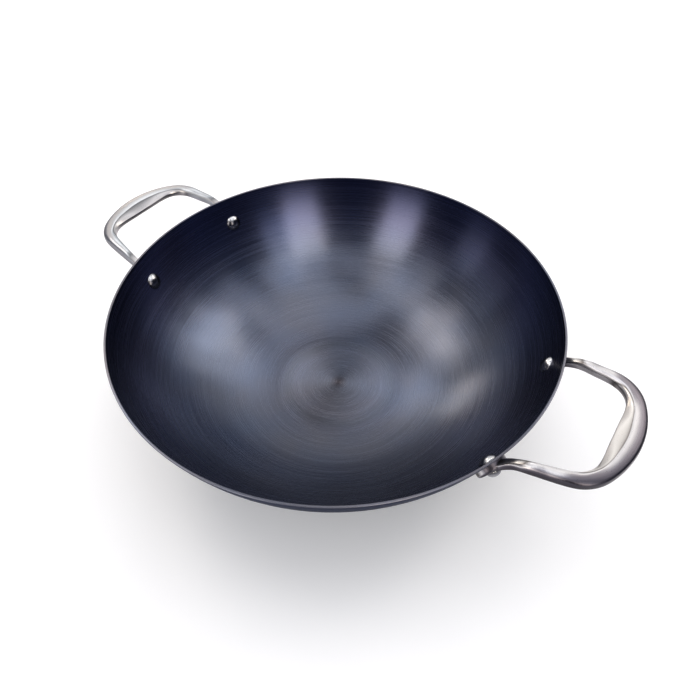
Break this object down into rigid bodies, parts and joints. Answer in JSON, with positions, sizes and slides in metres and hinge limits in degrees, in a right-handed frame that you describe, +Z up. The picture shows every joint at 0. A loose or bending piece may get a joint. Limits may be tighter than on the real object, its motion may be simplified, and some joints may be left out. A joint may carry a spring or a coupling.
{
  "type": "carbon steel wok",
  "caption": "Round-bottomed carbon steel wok with a small flat base, blued spun interior and riveted cast loop handles on opposite sides.",
  "frame": {"origin": "middle of the underside of the flat base, which is also the middle of the bounding box's bottom", "axes": "+Z up out of the bowl, +X along the line through both handles, towards the right handle, +Y towards the back"},
  "size_m": [0.4576, 0.3398, 0.1032],
  "materials": {
    "blued_carbon_steel": "blued, spun brushed",
    "cast_stainless_steel": "satin cast",
    "polished_rivet_steel": "polished"
  },
  "bodies": {
    "root": {"wok_bowl": "blued_carbon_steel", "right_handle": "cast_stainless_steel", "left_handle": "cast_stainless_steel", "right_front_rivet": "polished_rivet_steel", "right_back_rivet": "polished_rivet_steel", "left_front_rivet": "polished_rivet_steel", "left_back_rivet": "polished_rivet_steel"}
  },
  "joints": []
}
